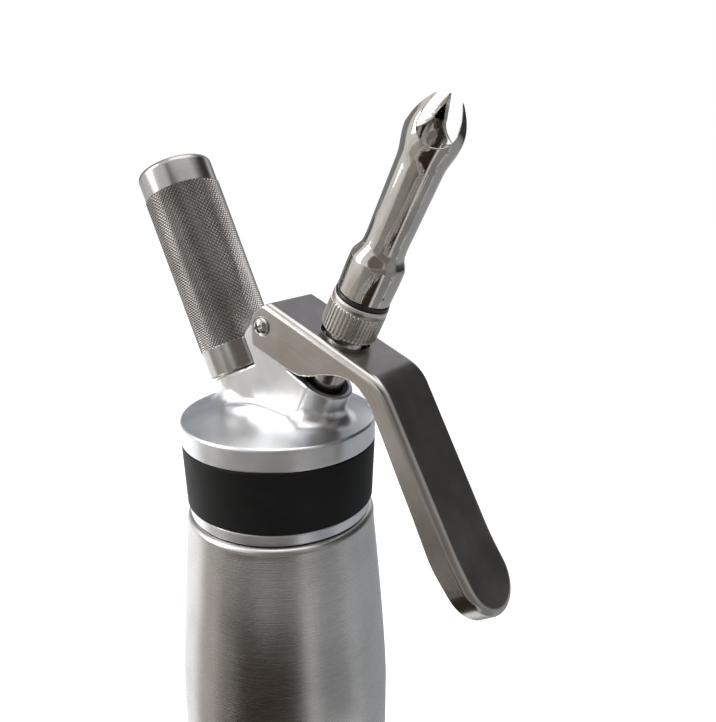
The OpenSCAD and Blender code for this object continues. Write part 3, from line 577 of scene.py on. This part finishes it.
grip = knurl("holder_knurl", knurl_low, knurl_high, 12.95, 13.5, knurl_columns, knurl_rows)
fit(holder, knurled_steel, "holder", "charger_holder", holder_place)
fit(grip, knurled_steel, "holder", "charger_holder", holder_place)


# --- Valve stem, O-rings and poppet seal --------------------------------------------------------
# A hollow turned stainless stem runs from the poppet inside the head up to the nozzle. The collar
# and the nut on it hide it.

# Fresh turning marks, bright and even
turned_steel = brushed_round("turned stainless steel", [(0.3, "#a7a5a3"), (0.7, "#c4c2c0")], 0.2, 0.3)
dress("valve_stem", turned_steel)
dress("stem_o_rings", nitrile)
dress("poppet_seal", nitrile)


# --- Valve spring -------------------------------------------------------------------------------
# A coil of drawn spring steel wire in the valve port, under the collar. It closes the valve and
# lifts the lever.

wire_radius, coil_radius, coil_low, coil_high, coil_turns = 0.6, 5.35, 12.7, 22.33, 4
spots, faces = [], []
steps, round_wire = coil_turns * 40, 12
for i in range(steps + 1):
    a = 2 * math.pi * coil_turns * i / steps
    z = coil_low + (coil_high - coil_low) * i / steps
    for k in range(round_wire):
        b = 2 * math.pi * k / round_wire
        r = coil_radius + wire_radius * math.cos(b)
        spots.append((r * math.cos(a) / 1000, r * math.sin(a) / 1000, (z + wire_radius * math.sin(b)) / 1000))
for i in range(steps):
    for k in range(round_wire):
        m = (k + 1) % round_wire
        here, on = i * round_wire, (i + 1) * round_wire
        faces.append([here + k, on + k, on + m, here + m])
faces += [list(range(round_wire)), [steps * round_wire + k for k in range(round_wire)][::-1]]
mesh = bpy.data.meshes.new("valve_spring")
mesh.from_pydata(spots, [], faces)
mesh.shade_smooth()
spring = placed("valve_spring_wire", mesh)
# Dull grey, drawn smooth
drawn_wire = brushed_round("drawn spring steel wire", [(0.3, "#8d8c8b"), (0.7, "#acaaa8")], 0.25, 0.2)
fit(spring, drawn_wire, "head", "valve_spring", valve_axis)
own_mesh(spring)


# --- Collar and wiper ---------------------------------------------------------------------------
# The collar stands round the stem: the lever pushes on its flange. A black wiper ring closes
# the port round it.

stem_r, flange_low, flange_high = 4.02, 40.33, 41.73
collar = lathe("stem_collar", outline(
    (stem_r, 23.03), (5.6, 23.03, 0.3), (5.6, flange_low, 0.4), (9, flange_low, 0.3), (9, flange_high, 0.5),
    (stem_r, flange_high)), 120)
fit(collar, turned_steel, "valve", "stem_collar", valve_axis)
wiper = lathe("port_wiper", outline(
    (5.7, wiper_low, 0.3), (wiper_r, wiper_low), (wiper_r, 26.1, 0.4), (6.4, 26.1, 0.5),
    (5.7, 25.3, 0.3)), 120)
fit(wiper, nitrile, "head", "port_wiper", valve_axis)


# --- Nut ----------------------------------------------------------------------------------------
# A fluted nut, turned and polished, that clamps the stem over the lever. Its short spigot above
# has the thread that the nozzle screws on.

flutes = 44
nut_r, nut_low, nut_high, spigot_r, spigot_high = 9.15, 47.09, 58.98, 6.2, 67.18


def fluted(angle, radius, height):
    """Straight flutes with flat lands on the nut's side, and the thread on its spigot."""
    turn = (angle * flutes / (2 * np.pi)) % 1
    dip = 0.5 * np.clip(1.35 - 5 * np.abs(turn - 0.5), 0, 1)
    side = (radius > 8.2) & (height > 47.3) & (height < 56.35)
    return thread(angle, np.where(side, radius - dip, radius), height, 60.7, 66.8, spigot_r, 6.6, 1.6)


nut_wall = [(nut_r, 47.9 + 0.9 * k) for k in range(10)]
spigot = [(spigot_r, 60.4 + 0.2 * k) for k in range(34)]
nut = lathe("valve_nut", outline(
    (stem_r, flange_high), (6, flange_high), (6, nut_low), (8.4, nut_low, 0.4), *nut_wall, (nut_r, 56.3),
    (8.7, 56.45), (8.98, 56.8), (8.98, nut_high, 0.6), (spigot_r, nut_high), *spigot,
    (spigot_r, spigot_high, 0.5), (2, spigot_high, 0.3), (2, 60), (stem_r, 60)),
    flutes * 10, fluted)
# Warm and bright, with the light spread over its flutes
polished_nut = brushed_round(
    "polished stainless steel, turned", [(0.3, "#c4c0ba"), (0.7, "#dad7d2")], 0.28, 0.35)
fit(nut, polished_nut, "valve", "valve_nut", valve_axis)


# --- Nozzle O-ring ------------------------------------------------------------------------------
# A black O-ring pressed flat between the nut and the nozzle, so that only a thin bright-edged
# line of it shows.

ring = lathe("nozzle_o_ring", [(7.9 + 0.85 * math.cos(a), 59.79 + 0.75 * math.sin(a))
                               for a in np.linspace(0, 2 * math.pi, 20, endpoint=False)], 160)
fit(ring, nitrile, "valve", "nozzle_o_ring", valve_axis)


# --- Nozzle -------------------------------------------------------------------------------------
# Drawn and chrome-plated brass: a skirt that screws on, a slim tube, and a cup whose wall is cut
# into three tines that curl in. A mirror finish, so it shows the room in long streaks.

# Height above the skirt's edge and radius: the skirt, the slim tube and the cup that curls in
nozzle_profile = np.array([
    (-0.1, 8.6), (10.6, 8.6), (11.4, 8.55), (12.4, 8.2), (13.6, 7.55), (14.8, 6.98), (16, 6.7), (17.4, 6.6),
    (24, 6.68), (34, 6.86), (40, 6.98), (42, 7.03), (44, 7.25), (46, 7.7), (48, 8.12), (50, 8.37),
    (51.5, 8.4), (53, 8.27), (55, 7.78), (57, 6.97), (59, 5.8), (61.3, 4.1)])
nozzle_length, plate_wall = 61.2, 0.9
tine_width, tine_tip, tine_low, notch_low = 4.8, 1.0, 54, 49
dimple_turn = math.radians(-20)


def nozzle_radius(t):
    """Smooth radius of the nozzle at heights t, through the profile's points."""
    heights, radii = nozzle_profile.T
    k = np.clip(np.searchsorted(heights, t) - 1, 0, len(heights) - 2)
    span = heights[k + 1] - heights[k]
    rise = np.gradient(radii, heights)
    m = np.clip((t - heights[k]) / span, 0, 1)
    return ((2 * m ** 3 - 3 * m ** 2 + 1) * radii[k] + (m ** 3 - 2 * m ** 2 + m) * span * rise[k]
            + (3 * m ** 2 - 2 * m ** 3) * radii[k + 1] + (m ** 3 - m ** 2) * span * rise[k + 1])


def notch_edge(t):
    """Half the width of a notch between two tines at heights t. Its foot is round."""
    taper = np.clip((t - tine_low) / (nozzle_length - tine_low), 0, 1)
    tine = tine_width - (tine_width - tine_tip) * taper
    radius = nozzle_radius(t)
    foot = np.clip(1 - (t - notch_low) / 5, 0, 1)
    return radius * np.sin(math.pi / 3 - np.arcsin(tine / 2 / radius)) * np.sqrt(1 - foot * foot)


notch_heights = [*np.linspace(notch_low, 51, 7), *np.linspace(51.5, nozzle_length, 16)]
half_notch = [(float(notch_edge(t)), float(t)) for t in notch_heights]
half_notch.append((half_notch[-1][0], 70))
notch = half_notch + [(-w, t) for w, t in half_notch[:0:-1]]


def plated_shell(p):
    """Distance from points in mm to the nozzle's wall, from its skirt's edge up."""
    x, y, t = p[:, 0], p[:, 1], p[:, 2]
    r = np.hypot(x, y)
    radius = nozzle_radius(t)
    lean = np.sqrt(1 + ((nozzle_radius(t + 0.05) - nozzle_radius(t - 0.05)) / 0.1) ** 2)
    outer = (r - radius) / lean
    bore = np.where(t < 7, 6.8, np.where(t < 8.1, 6.8 - (t - 7), 5.7))
    inner = np.where(t < 40, (r - np.minimum(bore, radius - plate_wall)), (r - radius) / lean + plate_wall)
    shell = meet(outer, -inner, 0.25)
    shell = meet(shell, np.maximum(-t, t - nozzle_length), 0.25)
    third = 2 * np.pi / 3
    turn = (np.arctan2(y, x) - math.radians(2)) % third - third / 2
    cut = outline_distance(notch, r * np.sin(turn), t)
    # A small round dimple low on the skirt
    off_x, off_y = x - 8.75 * math.cos(dimple_turn), y - 8.75 * math.sin(dimple_turn)
    dimple = np.sqrt(off_x ** 2 + off_y ** 2 + (t - 3.2) ** 2) - 0.6
    return meet(meet(shell, -cut, 0.22), -dimple, 0.08)


nozzle = skin("nozzle", plated_shell, (-9.3, -9.3, -0.4), (9.3, 9.3, 61.6), 0.22)
# A near mirror, slightly warm
chrome, tree, shader = surface("chrome plate, bright", Metallic=1, Roughness=0.08)
spot = add(tree, "ShaderNodeTexCoord").outputs["Object"]
# Faint draw lines up the tube and fingerprints about 6 mm wide
long = add(tree, "ShaderNodeMapping", {0: spot, "Scale": (2500, 2500, 40)})
drawn = add(tree, "ShaderNodeTexNoise", {0: long.outputs[0], "Scale": 1.0, "Detail": 2.0})
prints = add(tree, "ShaderNodeTexNoise", {"Vector": spot, "Scale": 160.0, "Detail": 4.0})
both = add(tree, "ShaderNodeMix", {0: 0.3, 2: prints.outputs[0], 3: drawn.outputs[0]})
tones(tree, shader, both.outputs[0], (0.3, "#b4afa9"), (0.5, "#bfbab4"), (0.7, "#c8c4be"))
rough = add(tree, "ShaderNodeMapRange", {0: prints.outputs[0], 1: 0.3, 2: 0.8, 3: 0.05, 4: 0.13})
tree.links.new(rough.outputs[0], shader.inputs["Roughness"])
fit(nozzle, chrome, "nozzle", "nozzle", up(valve_axis, 60.69))


# --- Lever --------------------------------------------------------------------------------------
# Stainless steel sheet, pressed over a former: a top plate with a slot for the stem, two side
# walls that run up into ears at the pivot, and a long handle with a round end. Polished, with
# fine lines along its length, and rolled edges.

plate_fall, grip_fall, end_fall = 21.9, 61.4, 55.4
plate_length, bend_r, half_width, sheet = 48, 14, 11.7, 1.8


def unit(fall):
    """Along a face that falls by an angle in degrees, and square into it."""
    a = math.radians(fall)
    return np.array([math.cos(a), -math.sin(a)]), np.array([-math.sin(a), -math.cos(a)])


# Places along +X and above the band's level, in mm
plate_back = np.array([7.1, 49.2])
plate_dir, plate_in = unit(plate_fall)
grip_dir, grip_in = unit(grip_fall)
end_dir, end_in = unit(end_fall)
bend_corner = plate_back + plate_length * plate_dir
bend_length = bend_r * math.tan(math.radians((grip_fall - plate_fall) / 2))
bend_centre = bend_corner - bend_length * plate_dir + bend_r * plate_in
fold = bend_corner + 56 * grip_dir
lever_end = fold + 20 * end_dir

# The lower edge of the side walls, from the ear along the arch and down the handle
wall_edge = [
    (-0.1, 36.5), (0.0, 35.2), (0.8, 34.3), (3.6, 33.1), (6.8, 32.0), (10.2, 30.8), (13.2, 29.6),
    (16.3, 28.5), (18.6, 27.9), (20.8, 27.75), (24.6, 28.2), (29.5, 29.6), (35.1, 30.4), (39.5, 30.0),
    (42.6, 28.7), (45.3, 26.2), (47.9, 22.8), (50.7, 17.6), (54, 11), (58.4, 2), (62.9, -6.9),
    (66.9, -15.2), (70.6, -22.2), (77.2, -30.6), (83.9, -38.9), (94, -52)]


def eased_line(points, steps):
    """Catmull-Rom curve through points."""
    p = np.array([points[0]] + list(points) + [points[-1]], float)
    line = []
    for i in range(1, len(p) - 2):
        for t in np.arange(steps) / steps:
            line.append(tuple(0.5 * (2 * p[i] + (p[i + 1] - p[i - 1]) * t
                                     + (2 * p[i - 1] - 5 * p[i] + 4 * p[i + 1] - p[i + 2]) * t ** 2
                                     + (3 * p[i] - 3 * p[i + 1] + p[i + 2] - p[i - 1]) * t ** 3)))
    return line + [tuple(p[-1])]


# What is left of the pressing: all above that edge and in front of the ears' rounded back corner
ear_corner = [(7.1, 49.2), (3.4, 47.3), (1.2, 45.6), (0.2, 44.2), (-0.1, 42.8)]
kept = eased_line(wall_edge, 3) + [(140, -50), (140, 90), (7.4, 90)] + ear_corner


def lever_place(x, h):
    """How far along the lever a point lies, and how deep under its outer face, in mm."""
    along_plate = (x - plate_back[0]) * plate_dir[0] + (h - plate_back[1]) * plate_dir[1]
    in_plate = (x - plate_back[0]) * plate_in[0] + (h - plate_back[1]) * plate_in[1]
    along_grip = (x - bend_corner[0]) * grip_dir[0] + (h - bend_corner[1]) * grip_dir[1]
    in_grip = (x - bend_corner[0]) * grip_in[0] + (h - bend_corner[1]) * grip_in[1]
    in_end = (x - fold[0]) * end_in[0] + (h - fold[1]) * end_in[1]
    in_grip = np.where(along_grip > 25, -melt(-in_grip, -in_end, 0.5), in_grip)
    turn = np.degrees(np.arctan2(x - bend_centre[0], h - bend_centre[1]))
    flat = plate_length - bend_length
    bent_u = flat + bend_r * np.radians(turn - plate_fall)
    bent_d = bend_r - np.hypot(x - bend_centre[0], h - bend_centre[1])
    grip_u = flat + bend_r * math.radians(grip_fall - plate_fall) + along_grip - bend_length
    before, after = turn < plate_fall, turn > grip_fall
    return (np.where(before, along_plate, np.where(after, grip_u, bent_u)),
            np.where(before, in_plate, np.where(after, in_grip, bent_d)))


def pressed_sheet(p):
    """Distance from points in mm to the lever's sheet."""
    x, y, h = p[:, 0], np.abs(p[:, 1]), p[:, 2] - band_top
    depth = lever_place(x, h)[1]
    past = (x - lever_end[0]) * end_dir[0] + (h - lever_end[1]) * end_dir[1] + half_width
    side = np.where(past > 0, np.hypot(past, y), y) - half_width
    outer = meet(side, -depth, 2.3)
    void = meet(side + sheet, sheet - depth, 0.8)
    shell = meet(outer, -void, 0.4)
    shell = meet(shell, outline_distance(kept, x, h), 0.45)
    valve_x, valve_y = along(p, valve_axis)[2:]
    slot = np.hypot(np.maximum(np.abs(valve_x) - 1.7, 0), valve_y) - 6.7
    slot = np.maximum(slot, 30 - h)
    hole = np.hypot(x - pivot_x, h - pivot_h) - 1.55
    return meet(meet(shell, -slot, 0.35), -hole, 0.2)


lever = skin("lever", pressed_sheet, (-1, -12.3, band_top - 46), (91, 12.3, band_top + 50),
             0.42)
# Each corner keeps its place along the lever, so that the polishing lines follow the bends
spots = np.empty(len(lever.data.vertices) * 3)
lever.data.vertices.foreach_get("co", spots)
spots = spots.reshape(-1, 3)
run, depth = lever_place(spots[:, 0] * 1000, spots[:, 2] * 1000 - band_top)
grain_place = lever.data.attributes.new("run", "FLOAT_VECTOR", "POINT")
grain_place.data.foreach_set("vector", np.stack([run / 1000, spots[:, 1], depth / 1000], 1).ravel())

# Beige grey, bright where it bends
pressed_steel, tree, shader = surface("polished stainless steel sheet", Metallic=1, Roughness=0.2)
run = add(tree, "ShaderNodeAttribute", attribute_name="run").outputs["Vector"]
spot = add(tree, "ShaderNodeTexCoord").outputs["Object"]
# Polishing lines 0.35 mm apart along the lever, and soft stains about 10 mm wide
long = add(tree, "ShaderNodeMapping", {0: run, "Scale": (45, 2800, 2800)})
lines = add(tree, "ShaderNodeTexNoise", {0: long.outputs[0], "Scale": 1.0, "Detail": 3.0})
stain = add(tree, "ShaderNodeTexNoise", {"Vector": spot, "Scale": 110.0, "Detail": 5.0, "Roughness": 0.6})
both = add(tree, "ShaderNodeMix", {0: 0.5, 2: stain.outputs[0], 3: lines.outputs[0]})
tones(tree, shader, both.outputs[0], (0.25, "#a8a4a0"), (0.5, "#b4b0ac"), (0.75, "#bfbcb8"))
rough = add(tree, "ShaderNodeMapRange", {0: stain.outputs[0], 1: 0.3, 2: 0.7, 3: 0.18, 4: 0.23})
tree.links.new(rough.outputs[0], shader.inputs["Roughness"])
bump = add(tree, "ShaderNodeBump", {"Height": lines.outputs[0], "Strength": 0.1, "Distance": 0.00002})
tree.links.new(bump.outputs[0], shader.inputs["Normal"])
fit(lever, pressed_steel, "lever", "lever")


# --- Pivot pin and screws -----------------------------------------------------------------------
# A steel pin turns in the web. A domed cross-head screw through each ear holds it.

dress("pivot_pin", turned_steel)


screw_r = 3.4


def screw_form(p):
    """Distance from points in mm to a screw that looks along Z, with its head on the ear at 0."""
    x, y, z = p[:, 0], p[:, 1], p[:, 2]
    r = np.hypot(x, y)
    dome = np.sqrt(r * r + (z + 1.85) ** 2) - 4.05
    form = meet(meet(r - screw_r, dome, 0.5), -z, 0.25)
    turn = math.radians(20)
    a, b = x * math.cos(turn) + y * math.sin(turn), y * math.cos(turn) - x * math.sin(turn)
    depth = 2.25 - z
    # Half the width and length of the recess's arms, narrower further down
    wide, long = 0.42 - 0.12 * depth, 2.1 - 0.45 * depth
    arm = np.minimum(np.maximum(np.abs(a) - wide, np.abs(b) - long),
                     np.maximum(np.abs(b) - wide, np.abs(a) - long))
    form = meet(form, -np.maximum(arm, 0.7 - z), 0.12)
    shank = np.maximum(r - 1.45, np.maximum(-6.8 - z, z - 0.3))
    return np.minimum(form, shank)


# Bright nickel
screw_steel = brushed_round("nickel-plated steel screw", [(0.3, "#a9a6a2"), (0.7, "#c9c6c2")], 0.18, 0.2)
for side, turn in (("near", 90), ("far", -90)):
    screw = skin("pivot_screw_" + side, screw_form, (-3.7, -3.7, -7), (3.7, 3.7, 2.6), 0.14)
    outward = (Matrix.Translation((pivot_x / 1000, 0, (band_top + pivot_h) / 1000))
               @ Matrix.Rotation(math.radians(turn), 4, "X") @ Matrix.Translation((0, 0, half_width / 1000)))
    fit(screw, screw_steel, "lever", "pivot_screws", outward)


# --- Floor, cards, lamps and camera -------------------------------------------------------------
# A white sweep of floor under a white room. Steel shows what is round it, so grey and brown cards
# stand where a photographer's room is dark, and three soft boxes light it.

floor = placed("floor", bpy.data.meshes.new("floor"))
sweep = bmesh.new()
bmesh.ops.create_circle(sweep, cap_ends=True, segments=96, radius=6)
sweep.to_mesh(floor.data)
sweep.free()
paper, tree, shader = surface("white backdrop paper", Roughness=0.9)
spot = add(tree, "ShaderNodeTexCoord").outputs["Object"]
fibre = add(tree, "ShaderNodeTexNoise", {"Vector": spot, "Scale": 900.0})
tones(tree, shader, fibre.outputs[0], (0.3, "#f6f6f6"), (0.7, "#fbfbfb"))


def either_ray(tree, one, other):
    """1 where a ray is of one kind or the other."""
    return add(tree, "ShaderNodeMath", {0: one, 1: other}, operation="MAXIMUM")


path = add(tree, "ShaderNodeLightPath")
seen = either_ray(tree, path.outputs["Is Camera Ray"], path.outputs["Is Glossy Ray"])
lift = add(tree, "ShaderNodeMath", {0: seen.outputs[0], 1: 0.45}, operation="MULTIPLY")
shader.inputs["Emission Color"].default_value = (1, 1, 1, 1)
tree.links.new(lift.outputs[0], shader.inputs["Emission Strength"])
floor.data.materials.append(paper)

world = bpy.data.worlds.new("white room")
bpy.context.scene.world = world
world.use_nodes = True
tree = world.node_tree
tree.nodes.clear()
path = add(tree, "ShaderNodeLightPath")
seen = either_ray(tree, path.outputs["Is Camera Ray"], path.outputs["Is Glossy Ray"])
seen = either_ray(tree, seen.outputs[0], path.outputs["Is Transmission Ray"])
room = add(tree, "ShaderNodeBackground", {0: (1, 1, 1, 1), 1: 0.55})
white = add(tree, "ShaderNodeBackground", {0: (1, 1, 1, 1), 1: 1.0})
mixed = add(tree, "ShaderNodeMixShader", {0: seen.outputs[0], 1: room.outputs[0], 2: white.outputs[0]})
add(tree, "ShaderNodeOutputWorld", {0: mixed.outputs[0]})


# The cards curve round a point 220 mm up, and stop 4 mm over the floor
card_height, card_drop = 0.22, 0.216


def card(name, colour, turn, lift, distance=0.55):
    """A curved card round the object, from one compass turn and height angle in degrees to another,
    that only shows in its gloss and fades out at its edges. Turn 0 is +X and 90 is +Y."""
    across, high, fade = 32, 24, 4
    spots, faces, solid = [], [], []
    for j in range(high + 1):
        for i in range(across + 1):
            a = math.radians(turn[0] + (turn[1] - turn[0]) * i / across)
            e = math.radians(lift[0] + (lift[1] - lift[0]) * j / high)
            far = min(distance, card_drop / math.sin(-e)) if e < 0 else distance
            out = far * math.cos(e)
            spots.append((out * math.cos(a), out * math.sin(a), card_height + far * math.sin(e)))
            solid.append(min(1, min(i, across - i) / fade) * min(1, min(j, high - j) / fade))
    for j in range(high):
        for i in range(across):
            k = j * (across + 1) + i
            faces.append([k, k + 1, k + across + 2, k + across + 1])
    mesh = bpy.data.meshes.new(name)
    mesh.from_pydata(spots, [], faces)
    mesh.attributes.new("solid", "FLOAT", "POINT").data.foreach_set("value", solid)
    made = placed(name, mesh)
    board = bpy.data.materials.new(name)
    board.use_nodes = True
    tree = board.node_tree
    tree.nodes.clear()
    glow = add(tree, "ShaderNodeEmission", {0: linear(colour), 1: 1.0})
    clear = add(tree, "ShaderNodeBsdfTransparent")
    edge = add(tree, "ShaderNodeAttribute", attribute_name="solid")
    faded = add(tree, "ShaderNodeMixShader",
                {0: edge.outputs["Fac"], 1: clear.outputs[0], 2: glow.outputs[0]})
    add(tree, "ShaderNodeOutputMaterial", {0: faded.outputs[0]})
    mesh.materials.append(board)
    made.visible_camera = made.visible_diffuse = made.visible_shadow = made.visible_transmission = False
    made.visible_volume_scatter = False


card("dark card behind right", "#464646", (22, 92), (-14, 54))
card("grey card low behind right", "#b0b4b8", (20, 112), (-80, 2), 0.56)
card("grey card right", "#9c9ea0", (-24, 34), (-75, 50), 0.57)
card("grey card behind", "#a5a4ac", (80, 126), (24, 66), 0.58)
card("blue grey card behind", "#8b9299", (104, 162), (-10, 30), 0.56)
card("grey card left", "#96979a", (154, 194), (-6, 54), 0.58)
card("brown card below the front", "#3a3028", (-128, -18), (-86, -22), 0.52)
card("grey card in front, left half", "#a39f9c", (-108, -56), (-34, 10), 0.54)
card("warm card in front", "#8a847e", (-74, -8), (-34, 12), 0.53)
card("warm card in front, higher", "#7d746e", (-84, -18), (4, 44), 0.55)
card("warm card front left", "#c4bdb5", (-152, -98), (-80, 2), 0.57)


def soft_box(name, place, size, power):
    """A large area lamp that faces the head."""
    lamp = bpy.data.lights.new(name, "AREA")
    lamp.shape = "RECTANGLE"
    lamp.size, lamp.size_y = size
    lamp.energy = power
    made = placed(name, lamp)
    made.location = place
    made.rotation_euler = (Vector((0, 0, 0.2)) - Vector(place)).to_track_quat("-Z", "Y").to_euler()


soft_box("soft box front left", (-0.75, -0.85, 0.75), (0.5, 0.9), 9)
soft_box("soft box above", (0.1, 0.1, 1.5), (1.2, 1.2), 6)
soft_box("soft box right", (1.2, 0.1, 0.6), (0.6, 0.9), 3)

# A lens 700 pixels long on the photograph's 722 high frame
camera = placed("camera", bpy.data.cameras.new("camera"))
camera.data.sensor_width = 36
camera.data.lens = 700 * camera.data.sensor_width / 722
camera_spot = (0.1609, -0.1679, 0.2856)
azimuth, elevation, roll = (math.radians(v) for v in (36.94, 16.24, 0.14))
level = math.cos(elevation)
forward = Vector((-math.sin(azimuth) * level, math.cos(azimuth) * level, -math.sin(elevation)))
right = Vector((math.cos(azimuth), math.sin(azimuth), 0))
upward = right.cross(forward)
turned = right * math.cos(roll) + upward * math.sin(roll)
upward = upward * math.cos(roll) - right * math.sin(roll)
look = Matrix((turned, upward, -forward)).transposed().to_4x4()
camera.matrix_world = Matrix.Translation(camera_spot) @ look
camera.data.clip_start = 0.01
bpy.context.scene.camera = camera
bpy.context.scene.view_settings.view_transform = "Standard"
